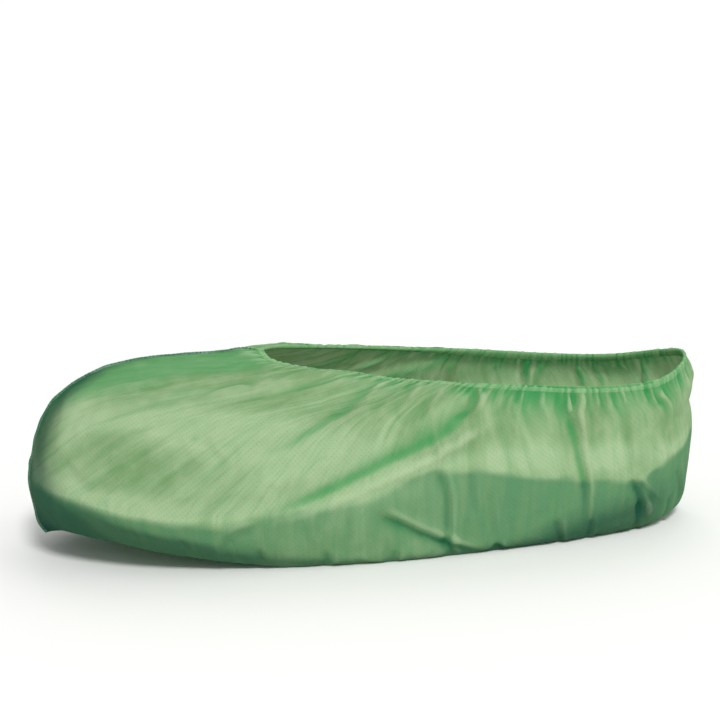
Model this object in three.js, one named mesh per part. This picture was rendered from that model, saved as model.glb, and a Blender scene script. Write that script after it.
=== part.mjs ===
// A disposable non-woven shoe cover, in the shape that it has when worn on a left work shoe of about EU 42.
// Sizes are in millimetres. X runs from the toe to the heel, Y from the little-toe side to the big-toe side,
// and Z up from the floor that the sole rests on.
import * as THREE from "three";

const { BufferAttribute, BufferGeometry, CatmullRomCurve3, MathUtils, Vector3 } = THREE;

// ---- Driving sizes ----

const CLOTH = 1.2; // wall of the bag
const SEAT_GAP = 0.3; // left between two pieces that touch

const STATIONS = 120; // steps round the cover, even, so that a gather's ridge and pinch alternate
const ROWS_PER_LINE = 3; // steps from one line of the shape to the next, going up
const SOLE_ROWS = 2; // steps from the middle of the sole to its edge

// ---- Shape of the bag ----

// Five lines run round the cover, one above the other. Each has a row for each rib, from the toe to the heel:
// how far along the foot it is, how far out to the little-toe side, how far in to the big-toe side, and how high.
const LINES = {
  sole: [
    [-139, 0, 0, 10],
    [-131, 19, 21, 12],
    [-113, 34, 36, 11],
    [-84, 44, 43, 6.5],
    [-42, 48, 43, 1.5],
    [5, 49, 38, 0],
    [50, 44, 34, 0],
    [95, 35, 31, 0],
    [124, 27, 27, 1],
    [141, 14, 15, 2.5],
    [147, 0, 0, 3],
  ],
  belly: [
    [-147, 0, 0, 36],
    [-142, 21, 23, 35],
    [-123, 38, 40, 31],
    [-90, 50, 49, 26],
    [-45, 54, 49, 24],
    [4, 54, 45, 28],
    [50, 50, 42, 33],
    [96, 43, 38, 28],
    [130, 33, 33, 29],
    [149, 17, 18, 32],
    [155.5, 0, 0, 34],
  ],
  shoulder: [
    [-133, 0, 0, 64],
    [-128, 17, 20, 63.5],
    [-112, 33, 36, 63],
    [-78, 43, 43, 61],
    [-38, 48, 44, 60],
    [8, 49, 42, 58],
    [52, 46, 40, 56],
    [97, 41, 37, 54],
    [130, 33, 33, 55],
    [149, 17, 18, 57],
    [156, 0, 0, 59],
  ],
  crown: [
    [-100, -3, 3, 79],
    [-96, 11, 17, 78],
    [-82, 24, 30, 76],
    [-56, 35, 37, 74],
    [-22, 41, 39, 71],
    [16, 43, 38, 68],
    [56, 43, 38, 65],
    [98, 40, 36, 62],
    [129, 31, 31, 62],
    [148, 16, 17, 65],
    [156, 0, 0, 68],
  ],
  rim: [
    [-42, -4, 4, 83],
    [-40, 9, 15, 82],
    [-31, 19, 24, 81],
    [-16, 26, 29, 79.5],
    [4, 32, 33, 77.5],
    [31, 37, 35, 75],
    [62, 39, 36, 72.5],
    [98, 37, 34, 69.5],
    [128, 29, 28, 69],
    [146, 15.5, 16, 73],
    [152, 0, 0, 76],
  ],
};
const LAST_RIB = LINES.sole.length - 1;
const RIBS_ROUND = 2 * LAST_RIB; // toe, little-toe side, heel and big-toe side
const WELT_SPREAD = 0.72; // a sixth line, just above the sole: this share of the way out to the belly
const WELT_UP = 7; // and this high above the sole
const LAST_LINE = Object.keys(LINES).length; // numbers of the lines: sole 0, welt 1, up to rim 5

// The sole's middle: between these places along the foot, and curling up towards the toe.
const SOLE_MIDDLE_FROM = -92;
const SOLE_MIDDLE_TO = 116;
const TOE_CURL_FROM = -30;
const TOE_CURL_LENGTH = 109;
const TOE_CURL_UP = 10;

// A closed curve through a line's rows, which is walked from rib 0 at the toe to rib RIBS_ROUND at the toe again.
function ringThrough(rows) {
  const outerSide = rows.map(([along, out, , up]) => new Vector3(along, -out, up));
  const innerSide = rows.map(([along, , into, up]) => new Vector3(along, into, up));
  const wayBack = innerSide.slice(1, -1).reverse();
  return new CatmullRomCurve3([...outerSide, ...wayBack], true, "catmullrom", 0.5);
}

const RINGS = Object.values(LINES).map(ringThrough);

// The curve up the side at one rib, from the sole's edge to the rim.
function profileAt(rib) {
  const share = (((rib / RIBS_ROUND) % 1) + 1) % 1;
  const [sole, belly, ...rest] = RINGS.map((ring) => ring.getPoint(share));
  const welt = sole.clone().lerp(belly, WELT_SPREAD).setZ(sole.z + WELT_UP);
  return new CatmullRomCurve3([sole, welt, belly, ...rest], false, "catmullrom", 0.5);
}

// A place of the smooth shape, by rib and line. Nothing of it reaches under the floor.
function smoothPoint(rib, line) {
  const point = profileAt(rib).getPoint(line / LAST_LINE);
  return point.setZ(Math.max(point.z, 0));
}

// The direction out of the cloth at one place of the smooth shape.
function outwardAt(rib, line) {
  const step = 0.02;
  const below = Math.max(line - step, 0);
  const above = Math.min(line + step, LAST_LINE);
  const round = smoothPoint(rib + step, line).sub(smoothPoint(rib - step, line));
  const upward = smoothPoint(rib, above).sub(smoothPoint(rib, below));
  return round.cross(upward).normalize();
}

// Ribs of the stations: even steps by the mean of the rim's and the belly's own lengths, alike on both sides.
function stationRibs() {
  const samples = 400;
  const [belly, rim] = [RINGS[1], RINGS[4]];
  const lengthTo = (ring) => {
    const sums = [0];
    for (let i = 1; i <= samples; i++) {
      const [from, to] = [i - 1, i].map((k) => ring.getPoint(k / samples / 2));
      sums.push(sums[i - 1] + from.distanceTo(to));
    }
    return sums.map((sum) => sum / sums[samples]);
  };
  const [bellyShare, rimShare] = [lengthTo(belly), lengthTo(rim)];
  const half = STATIONS / 2;
  const ribs = [];
  let sample = 0;
  for (let i = 0; i <= half; i++) {
    const meanAt = (k) => (bellyShare[k] + rimShare[k]) / 2;
    while (sample < samples - 1 && meanAt(sample + 1) < i / half) sample++;
    const within = (i / half - meanAt(sample)) / (meanAt(sample + 1) - meanAt(sample));
    ribs.push(((sample + within) / samples) * LAST_RIB);
  }
  const wayBack = ribs.slice(1, -1).map((rib) => RIBS_ROUND - rib);
  return [...ribs, ...wayBack.reverse()];
}

// ---- Folds, gathers and the ruffle ----

// A fold runs from one place to another, each given as a rib and a line of the shape (0 to 10 on the little-toe
// side, 10 to 20 on the big-toe side). It has a width, and a depth that is negative for a ridge.
const FOLDS = [
  // from rib, line; to rib, line; width, depth
  [4.4, 4.1, 4.1, 3.0, 5, 2.4], // instep valley, upper half
  [4.1, 3.0, 2.5, 2.1, 5, 1.8], // and its run down to the toe's side
  [5.7, 4.0, 4.8, 2.6, 6, 3.0], // waist valley, upper half
  [4.8, 2.6, 3.5, 2.0, 6, 2.4], // and its run forward along the ball
  [5.6, 2.7, 4.4, 2.1, 5, -1.6], // ridge under the waist valley
  [4.7, 3.4, 4.0, 2.5, 8, -1.8], // flat-drawn wedge between the two valleys
  [2.3, 4.3, 3.2, 4.4, 4, 1.2], // crease across the top of the toe
  [6.6, 4.4, 6.9, 1.2, 4, 1.8], // upright fold at the front of the heel
  [6.9, 4.3, 7.1, 1.6, 3, -1.2], // ridge behind it
  [7.5, 2.0, 7.8, 1.0, 4, 1.4], // slack crease low on the heel
  [5.5, 2.4, 5.6, 1.2, 3.5, 1.2], // upright crease at the waist
  [4.9, 1.9, 5.6, 0.8, 4, 1.6], // slanting crease low at the ball
  [15.6, 4.1, 16.6, 2.4, 6, 2.2], // big-toe side: instep valley
  [14.4, 4.0, 15.6, 2.3, 6, 2.4], // big-toe side: waist valley
  [13.2, 4.2, 13.0, 1.4, 4, 1.6], // big-toe side: upright fold at the heel
  [12.1, 2.4, 12.4, 1.0, 4, 1.4], // big-toe side: slack crease low on the heel
];
const FOLD_STEPS = 10;

const GATHER_HEIGHT = 0.75; // a gather's ridge stands out this much, and its pinch lies in as much
const GATHER_RUN = 13; // distance below the rim over which the gathers fade out
const RUFFLE_OUT = 1.5; // the band of gathers stands proud, most at the heel
const RUFFLE_BELOW = 9; // middle of that band, below the rim
const RUFFLE_WIDTH = 7;
const HEEL_RIBS = 3; // ribs either side of the heel over which the ruffle stands fully proud
const STILL_LINE = 0.8; // below this line the folds fade, so that the sole lies flat

const foldPaths = FOLDS.map(([fromRib, fromLine, toRib, toLine, width, depth]) => {
  const places = [];
  for (let i = 0; i <= FOLD_STEPS; i++) {
    const share = i / FOLD_STEPS;
    places.push(smoothPoint(MathUtils.lerp(fromRib, toRib, share), MathUtils.lerp(fromLine, toLine, share)));
  }
  return { places, width, depth };
});

// Distance from a point to a path of short straight steps.
function distanceToPath(point, places) {
  const nearest = new Vector3();
  const distances = places.slice(1).map((place, i) => {
    new THREE.Line3(places[i], place).closestPointToPoint(point, true, nearest);
    return nearest.distanceTo(point);
  });
  return Math.min(...distances);
}

const bell = (distance, width) => Math.exp(-((distance / width) ** 2));

// How far the cloth stands out of the smooth shape.
function reliefAt(station, rib, line, point) {
  const belowRim = point.distanceTo(smoothPoint(rib, LAST_LINE));
  const folds = foldPaths.reduce(
    (sum, { places, width, depth }) => sum - depth * bell(distanceToPath(point, places), width),
    0,
  );
  const gather = (station % 2 === 0 ? 1 : -1) * GATHER_HEIGHT * bell(belowRim, GATHER_RUN);
  const nearHeel = bell(rib - LAST_RIB, HEEL_RIBS);
  const ruffle = RUFFLE_OUT * (0.4 + 0.6 * nearHeel) * bell(belowRim - RUFFLE_BELOW, RUFFLE_WIDTH);
  const still = MathUtils.smoothstep(line, 0, STILL_LINE);
  return (folds + gather + ruffle) * still;
}

// ---- Meshes from rows of points ----

// Collects triangles, sharing the points that coincide and dropping the triangles that these make flat.
class Skin {
  constructor() {
    this.positions = [];
    this.triangles = [];
    this.known = new Map();
  }

  index(point) {
    const key = [point.x, point.y, point.z].map((value) => value.toFixed(3)).join();
    if (!this.known.has(key)) {
      this.known.set(key, this.positions.length / 3);
      this.positions.push(point.x, point.y, point.z);
    }
    return this.known.get(key);
  }

  triangle(...points) {
    const corners = points.map((point) => this.index(point));
    if (new Set(corners).size === 3) this.triangles.push(...corners);
  }

  quad(a, b, c, d) {
    this.triangle(a, b, c);
    this.triangle(a, c, d);
  }

  // Joins two closed rows of as many points each.
  band(lower, upper) {
    lower.forEach((point, i) => {
      const next = (i + 1) % lower.length;
      this.quad(point, lower[next], upper[next], upper[i]);
    });
  }

  geometry() {
    const geometry = new BufferGeometry();
    geometry.setAttribute("position", new BufferAttribute(new Float32Array(this.positions), 3));
    geometry.setIndex(this.triangles);
    geometry.computeVertexNormals();
    return geometry;
  }
}

function clothMesh(name, geometry, color) {
  const material = new THREE.MeshStandardMaterial({ color, roughness: 0.8, metalness: 0 });
  const mesh = new THREE.Mesh(geometry, material);
  mesh.name = name;
  return mesh;
}

// ---- cover_bag: the folded sheet, hollow and open at the top ----

const HEM_HEIGHT = 5; // the hem takes the last of the cloth below the rim
const ribs = stationRibs();

// The line that lies a distance below the rim.
function lineBelowRim(rib, distance) {
  const profile = profileAt(rib);
  const rim = profile.getPoint(1);
  let [tooFar, tooNear] = [LAST_LINE - 2, LAST_LINE];
  for (let halving = 0; halving < 16; halving++) {
    const line = (tooFar + tooNear) / 2;
    if (profile.getPoint(line / LAST_LINE).distanceTo(rim) > distance) tooFar = line;
    else tooNear = line;
  }
  return (tooFar + tooNear) / 2;
}

const topLines = ribs.map((rib) => lineBelowRim(rib, HEM_HEIGHT + SEAT_GAP));

// Rows of the outer face, from the middle of the sole to the bag's top edge.
function outerRows() {
  const edge = ribs.map((rib) => smoothPoint(rib, 0));
  const middle = edge.map((point, i) => {
    const alike = edge[Math.min(i, STATIONS - i)];
    const along = MathUtils.clamp(alike.x, SOLE_MIDDLE_FROM, SOLE_MIDDLE_TO);
    const curl = Math.max(TOE_CURL_FROM - along, 0) / TOE_CURL_LENGTH;
    return new Vector3(along, 0, TOE_CURL_UP * curl ** 2);
  });
  const rows = [];
  for (let row = 0; row < SOLE_ROWS; row++)
    rows.push(middle.map((point, i) => point.clone().lerp(edge[i], row / SOLE_ROWS)));
  const sideRows = ROWS_PER_LINE * LAST_LINE;
  for (let row = 0; row <= sideRows; row++)
    rows.push(
      ribs.map((rib, station) => {
        const line = (row / sideRows) * topLines[station];
        const point = smoothPoint(rib, line);
        return point.addScaledVector(outwardAt(rib, line), reliefAt(station, rib, line, point));
      }),
    );
  return rows;
}

// Directions out of a grid of rows, one for each point.
function outwardOf(rows) {
  return rows.map((row, r) =>
    row.map((point, i) => {
      if (r < SOLE_ROWS) return new Vector3(0, 0, -1);
      if (r === rows.length - 1) return outwardAt(ribs[i], topLines[i]);
      const before = row[(i + STATIONS - 1) % STATIONS];
      const after = row[(i + 1) % STATIONS];
      const below = rows[r - 1][i];
      const above = rows[r + 1][i];
      const round = after.clone().sub(before);
      return round.cross(above.clone().sub(below)).normalize();
    }),
  );
}

const bagRows = outerRows();
const bagOutward = outwardOf(bagRows);

function coverBag() {
  const innerFace = bagRows.map((row, r) =>
    row.map((point, i) => point.clone().addScaledVector(bagOutward[r][i], -CLOTH)),
  );
  const skin = new Skin();
  const loop = [...bagRows, ...innerFace.reverse()];
  loop.slice(1).forEach((row, i) => skin.band(loop[i], row));
  return clothMesh("cover_bag", skin.geometry(), "#8fb781");
}

// ---- rim_hem and rim_elastic: the edge turned in over the elastic ----

const HEM_CLOTH = 1;
const ELASTIC_THICK = 1.4;
const ELASTIC_WIDE = 3;
const HEM_INSIDE = ELASTIC_THICK + 2 * SEAT_GAP;
const hemRibs = ribs.filter((_, station) => station % 2 === 0);

// A ring of one section round the rim. Each corner of the section is given by how far it lies in from the
// cloth's outer face and how far below the rim.
function ringRoundRim(corners) {
  const skin = new Skin();
  const rows = corners.map(([inward, below]) => {
    return hemRibs.map((rib) => {
      const line = lineBelowRim(rib, below);
      return smoothPoint(rib, line).addScaledVector(outwardAt(rib, line), -inward);
    });
  });
  rows.forEach((row, i) => skin.band(row, rows[(i + 1) % rows.length]));
  return skin.geometry();
}

function rimHem() {
  const [outerLeg, innerLeg] = [HEM_CLOTH, HEM_CLOTH + HEM_INSIDE];
  const total = innerLeg + HEM_CLOTH;
  const section = [
    [0, HEM_HEIGHT],
    [0, HEM_CLOTH],
    [HEM_CLOTH, 0],
    [innerLeg, 0],
    [total, HEM_CLOTH],
    [total, HEM_HEIGHT],
    [innerLeg, HEM_HEIGHT],
    [innerLeg, HEM_CLOTH],
    [outerLeg, HEM_CLOTH],
    [outerLeg, HEM_HEIGHT],
  ];
  return clothMesh("rim_hem", ringRoundRim(section), "#85b684");
}

function rimElastic() {
  const [near, far] = [HEM_CLOTH + SEAT_GAP, HEM_CLOTH + SEAT_GAP + ELASTIC_THICK];
  const [top, bottom] = [HEM_CLOTH + SEAT_GAP, HEM_CLOTH + SEAT_GAP + ELASTIC_WIDE];
  const section = [
    [near, bottom],
    [near, top],
    [far, top],
    [far, bottom],
  ];
  return clothMesh("rim_elastic", ringRoundRim(section), "#dfe6da");
}

// ---- toe_seam and heel_seam: the two welds that close the bag's ends ----

const SEAM_THICK = 1.2;
const SEAM_STANDS_OUT = 2; // up the toe and the heel
const SEAM_CORNER_OUT = 4.5; // where the weld ends in a point at the sole's corner

// A weld follows one station from the sole's edge to the bag's top edge, standing out of the cloth.
function seam(name, station) {
  const rows = bagRows.slice(SOLE_ROWS + 1);
  const outward = bagOutward.slice(SOLE_ROWS + 1);
  const skin = new Skin();
  const before = (station + STATIONS - 1) % STATIONS;
  const sections = rows.map((row, r) => {
    const standsOut = MathUtils.lerp(SEAM_STANDS_OUT, SEAM_CORNER_OUT, bell(r, 2));
    const halfThick = row[station + 1].clone().sub(row[before]).setLength(SEAM_THICK / 2);
    const root = row[station].clone().addScaledVector(outward[r][station], SEAT_GAP);
    const tip = root.clone().addScaledVector(outward[r][station], standsOut);
    return [
      root.clone().sub(halfThick),
      tip.clone().sub(halfThick),
      tip.clone().add(halfThick),
      root.clone().add(halfThick),
    ];
  });
  sections.slice(1).forEach((section, i) => skin.band(sections[i], section));
  skin.quad(...[...sections[0]].reverse());
  skin.quad(...sections[sections.length - 1]);
  return clothMesh(name, skin.geometry(), "#6ea57a");
}

// ---- The part, standing on the middle of its box's base ----

const group = new THREE.Group();
group.add(coverBag(), rimHem(), rimElastic(), seam("toe_seam", 0), seam("heel_seam", STATIONS / 2));

const box = new THREE.Box3().setFromObject(group);
const middle = box.getCenter(new Vector3());
group.position.set(-middle.x, -middle.y, -box.min.z);

export default group;
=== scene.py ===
"""A disposable shoe cover in green spunbond polypropylene, in the shape it has on a left work shoe.

The script follows the cover as it is made: the bag of folded cloth, the elastic laid round its mouth, the
hem turned over the elastic, and the two welds that close the toe and the heel. Units are metres, in the
part's own frame. The shape's tables are in millimetres and are turned to metres as each mesh is made.
"""
import math

import bmesh
import bpy
import numpy as np
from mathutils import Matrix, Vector


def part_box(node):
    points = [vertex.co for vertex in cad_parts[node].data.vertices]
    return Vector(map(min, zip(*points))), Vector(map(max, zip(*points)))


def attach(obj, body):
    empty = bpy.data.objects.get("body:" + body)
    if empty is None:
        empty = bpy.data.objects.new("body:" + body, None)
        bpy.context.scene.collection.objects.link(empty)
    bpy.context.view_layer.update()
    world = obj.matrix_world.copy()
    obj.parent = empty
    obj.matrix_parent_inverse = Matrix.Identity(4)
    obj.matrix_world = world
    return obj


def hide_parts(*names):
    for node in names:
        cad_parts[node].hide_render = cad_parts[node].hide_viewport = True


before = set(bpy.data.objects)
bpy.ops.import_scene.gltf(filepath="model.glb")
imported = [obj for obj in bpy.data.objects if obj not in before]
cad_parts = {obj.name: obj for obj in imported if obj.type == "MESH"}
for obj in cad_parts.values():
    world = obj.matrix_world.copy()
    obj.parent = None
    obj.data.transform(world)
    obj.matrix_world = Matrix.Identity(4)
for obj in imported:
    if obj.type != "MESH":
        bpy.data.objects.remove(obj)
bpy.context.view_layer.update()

# ---- Studio: camera, floor and light ----
# A wide pale matt floor under an even white sky, with one soft main light from the front and above, a weak
# one from the heel's side and one from behind. Seen from low down, the dimmer sky shows above the floor.

MM = 0.001
CAMERA_TURN = math.radians(-12)
CAMERA_RISE = math.radians(18)
CAMERA_TIP_UP = math.radians(5.42)
CAMERA_AWAY = 0.8
CAMERA_LENS = 88.0
FLOOR_SIZE = 60.0
SKY_LIGHT = 0.5
SUNS = [
    # name, turn and rise in degrees, strength, spread in degrees
    ("main_light", 2, 52, 1.9, 16),
    ("heel_light", 75, 30, 0.35, 50),
    ("back_light", 165, 48, 0.6, 40),
]


def direction(turn, rise):
    """The way from the cover to something seen at that turn and rise, in radians."""
    return Vector((math.sin(turn) * math.cos(rise), -math.cos(turn) * math.cos(rise), math.sin(rise)))


def linear(hex_colour):
    """An sRGB hex colour as the linear RGBA that shaders take."""
    parts = [int(hex_colour[i:i + 2], 16) / 255 for i in (1, 3, 5)]
    return tuple(part / 12.92 if part <= 0.04045 else ((part + 0.055) / 1.055) ** 2.4
                 for part in parts) + (1.0,)


def add_node(tree, kind, **given):
    """Adds a node, with its properties and its sockets by name (_ for a space) or by number (_0, _1).

    A shader's kind leaves out "ShaderNode". A socket takes a value, a hex colour, another node's output,
    or a node for its first output.
    """
    node = tree.nodes.new("ShaderNode" + kind if tree.type == "SHADER" else kind)
    for name, value in given.items():
        if hasattr(node, name):
            setattr(node, name, value)
            continue
        socket = node.inputs[int(name[1:]) if name[1:].isdigit() else name.replace("_", " ")]
        if isinstance(value, bpy.types.Node):
            value = value.outputs[0]
        if isinstance(value, bpy.types.NodeSocket):
            tree.links.new(value, socket)
        else:
            socket.default_value = linear(value) if str(value).startswith("#") else value
    return node


def new_material(name):
    material = bpy.data.materials.new(name)
    material.use_nodes = True
    material.node_tree.nodes.clear()
    return material, material.node_tree


def show(name, data):
    """A new object in the scene, at the origin, unturned and unscaled."""
    shown = bpy.data.objects.new(name, data)
    bpy.context.scene.collection.objects.link(shown)
    return shown


# The shape's tables have a zero of their own near the foot's middle, and SHIFT takes them to the frame's.
bag_low, bag_high = (np.array(corner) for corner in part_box("cover_bag"))
SHAPE_MIDDLE_X = 5.3 * MM
SHIFT = np.array([(bag_low[0] + bag_high[0]) / 2 - SHAPE_MIDDLE_X,
                  sum(corner[1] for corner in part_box("heel_seam")) / 2, 0])

camera = show("camera", bpy.data.cameras.new("camera"))
camera.data.lens = CAMERA_LENS
camera.data.sensor_width = 36
camera.data.clip_end = 2 * FLOOR_SIZE
camera.location = Vector(SHIFT) + CAMERA_AWAY * direction(CAMERA_TURN, CAMERA_RISE)
camera.rotation_euler = (math.pi / 2 - CAMERA_RISE + CAMERA_TIP_UP, 0, CAMERA_TURN)
bpy.context.scene.camera = camera

floor_mesh = bpy.data.meshes.new("floor")
half = FLOOR_SIZE / 2
floor_mesh.from_pydata([(-half, -half, 0), (half, -half, 0), (half, half, 0), (-half, half, 0)], [],
                       [(0, 1, 2, 3)])
floor = show("floor", floor_mesh)
# Matt emulsion on board: no gloss, so that it only catches soft shadows.
paint, paint_tree = new_material("matt_white_studio_paint")
painted = add_node(paint_tree, "BsdfPrincipled", Base_Color="#f1f1ef", Roughness=0.9,
                   Specular_IOR_Level=0.2)
add_node(paint_tree, "OutputMaterial", Surface=painted)
floor_mesh.materials.append(paint)

world = bpy.data.worlds.new("white_sky")
world.use_nodes = True
world.node_tree.nodes["Background"].inputs["Color"].default_value = linear("#ffffff")
world.node_tree.nodes["Background"].inputs["Strength"].default_value = SKY_LIGHT
bpy.context.scene.world = world
for name, turn, rise, strength, spread in SUNS:
    sun = bpy.data.lights.new(name, "SUN")
    sun.energy = strength
    sun.angle = math.radians(spread)
    lamp = show(name, sun)
    towards = direction(math.radians(turn), math.radians(rise))
    lamp.rotation_euler = towards.to_track_quat("Z", "Y").to_euler()
bpy.context.scene.view_settings.view_transform = "Standard"

# ---- cover_bag: the folded sheet ----
# One sheet of thin spunbond polypropylene, folded at the sole and open at the top. The shoe draws it tight
# over the toe and the sole's edge. The elastic gathers it below the rim into puffs with narrow pinches.

LINES = {
    # rows are ribs from the toe to the heel: along the foot, out to the little-toe side,
    # in to the big-toe side, and up, in millimetres
    "sole": [(-139, 0, 0, 11), (-131, 19, 21, 13.5), (-113, 34, 36, 12.5), (-84, 44, 43, 7.5),
             (-42, 48, 43, 1.5), (5, 49, 38, 0), (50, 44, 34, 0), (95, 35, 31, 0),
             (124, 27, 27, 1), (141, 14, 15, 2.5), (147, 0, 0, 3)],
    "belly": [(-145.3, 0, 0, 37), (-142, 21, 23, 35), (-123, 38, 40, 31), (-90, 50, 49, 26),
              (-45, 54, 49, 24), (4, 54, 45, 28), (50, 50, 42, 33), (96, 43, 38, 28),
              (130, 33, 33, 29), (149, 17, 18, 32), (155.5, 0, 0, 34)],
    "shoulder": [(-134, 0, 0, 66), (-128.5, 17, 20, 65), (-112, 33, 36, 63), (-78, 43, 43, 61),
                 (-38, 48, 44, 60), (8, 49, 42, 58), (52, 46, 40, 56), (97, 41, 37, 54),
                 (130, 33, 33, 55), (149, 17, 18, 57), (156, 0, 0, 59)],
    "crown": [(-102, -3, 3, 80.5), (-97, 11, 17, 79.3), (-82, 24, 30, 76), (-56, 35, 37, 74),
              (-22, 41, 39, 71), (16, 43, 38, 68), (56, 43, 38, 65), (98, 40, 36, 62),
              (129, 31, 31, 62), (148, 16, 17, 65), (156, 0, 0, 68)],
    "rim": [(-42, -4, 4, 83), (-40, 9, 15, 82), (-31, 19, 24, 81), (-16, 26, 29, 79.5),
            (4, 32, 33, 77.5), (31, 37, 35, 75), (62, 39, 36, 72.5), (98, 37, 34, 69.5),
            (128, 29, 28, 69), (146, 15.5, 16, 73), (152, 0, 0, 76)],
}
LAST_RIB = len(LINES["sole"]) - 1
RIBS_ROUND = 2 * LAST_RIB
LAST_LINE = len(LINES)
CLEAR_OF_FLOOR = 0.3  # half the thickness of the cloth and its creases
WELT_SPREAD = 0.72
WELT_UP = 7
SOLE_MIDDLE = (-92, 116)
TOE_CURL_FROM, TOE_CURL_LENGTH, TOE_CURL_UP = -30, 109, 10
TOE_CORNER, TOE_CORNER_SIZE = np.array((-140, 0, 12)), np.array((7, 10, 8))
TOE_CORNER_PULL = np.array((-0.6, 0, -2.6))  # how far the bag's empty corner sticks out

COLUMNS = 840  # round the cover
SIDE_ROWS = 100  # from the sole's edge to the rim
SOLE_ROWS = 12  # from the sole's middle to its edge


def through(points, places, closed):
    """Catmull-Rom curves through points[0], points[1], ... at those places, one for each column."""
    if closed:
        start = np.floor(places).astype(int)
        before, first, second, after = (points[(start + k) % len(points)] for k in (-1, 0, 1, 2))
    else:
        ends = np.concatenate([[2 * points[0] - points[1]], points, [2 * points[-1] - points[-2]]])
        start = np.clip(np.floor(places).astype(int), 0, len(points) - 2)
        column = np.arange(points.shape[1])
        before, first, second, after = (ends[start + k + 1, column] for k in (-1, 0, 1, 2))
    part = (places - start)[..., None]
    return 0.5 * (2 * first + (second - before) * part
                  + (2 * before - 5 * first + 4 * second - after) * part ** 2
                  + (3 * first - before - 3 * second + after) * part ** 3)


def line_points(name, ribs):
    rows = np.array(LINES[name], float)
    outer = rows[:, [0, 1, 3]] * (1, -1, 1)
    inner = rows[:, [0, 2, 3]]
    return through(np.vstack([outer, inner[-2:0:-1]]), ribs % RIBS_ROUND, True)


def smooth_points(ribs, lines):
    """Places on the smooth shape, in millimetres: ribs (n), lines (m, n), result (m, n, 3)."""
    sole, belly, *rest = [line_points(name, ribs) for name in LINES]
    welt = sole + (belly - sole) * WELT_SPREAD
    welt[:, 2] = sole[:, 2] + WELT_UP
    points = through(np.array([sole, welt, belly, *rest]), lines, False)
    points[..., 2] = np.maximum(points[..., 2], CLEAR_OF_FLOOR)
    return points


def lengths_along(points, axis):
    """Running length along an axis of a grid of points, from 0."""
    steps = np.linalg.norm(np.diff(points, axis=axis), axis=-1)
    return np.insert(np.cumsum(steps, axis=axis), 0, 0, axis=axis)


def even_ribs(count):
    """Ribs of the columns, even by the mean of the rim's and the belly's lengths, alike on both sides."""
    fine = np.linspace(0, LAST_RIB, 801)
    shares = [lengths_along(line_points(name, fine), 0) for name in ("belly", "rim")]
    mean = sum(share / share[-1] for share in shares) / 2
    half_way = np.interp(np.linspace(0, 1, count // 2 + 1), mean, fine)
    return np.concatenate([half_way, RIBS_ROUND - half_way[-2:0:-1]])


def even_lines(ribs, rows):
    """Lines of the rows, even by length up each column."""
    fine = np.linspace(0, LAST_LINE, 121)
    run = lengths_along(smooth_points(ribs, np.repeat(fine[:, None], len(ribs), 1)), 0)
    steps = np.linspace(0, 1, rows + 1)
    return np.array([np.interp(steps * column[-1], column, fine) for column in run.T]).T


def outward_of(points):
    """Directions out of a grid whose columns run round the cover and whose rows run up it."""
    across = np.roll(points, -1, 1) - np.roll(points, 1, 1)
    normal = np.cross(across, np.gradient(points, axis=0))
    normal[..., 2] -= 1e-4  # where the sole's columns meet in a point, out is down
    return normal / np.linalg.norm(normal, axis=-1, keepdims=True)


ribs = even_ribs(COLUMNS)
lines = even_lines(ribs, SIDE_ROWS)
side = smooth_points(ribs, lines)
mirror = np.minimum(np.arange(COLUMNS), COLUMNS - np.arange(COLUMNS))
middle_x = np.clip(side[0, mirror, 0], *SOLE_MIDDLE)
curl = np.maximum(TOE_CURL_FROM - middle_x, 0) / TOE_CURL_LENGTH
middle = np.stack([middle_x, 0 * middle_x, CLEAR_OF_FLOOR + TOE_CURL_UP * curl ** 2], -1)
sole = np.array([middle + (side[0] - middle) * row / SOLE_ROWS for row in range(SOLE_ROWS)])
smooth = np.concatenate([sole, side])
corner_reach = np.linalg.norm((smooth - TOE_CORNER) / TOE_CORNER_SIZE, axis=-1)
smooth += TOE_CORNER_PULL * np.exp(-corner_reach ** 2)[..., None]
lines = np.concatenate([np.zeros(sole.shape[:2]), lines])
outward = outward_of(smooth)
run_up = lengths_along(smooth, 0)
below_rim = run_up[-1] - run_up  # distance below the rim, along the cloth
along_rim = lengths_along(np.vstack([smooth[-1], smooth[-1, :1]]), 0)
RIM_LENGTH, along_rim = along_rim[-1], along_rim[:-1]

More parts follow.
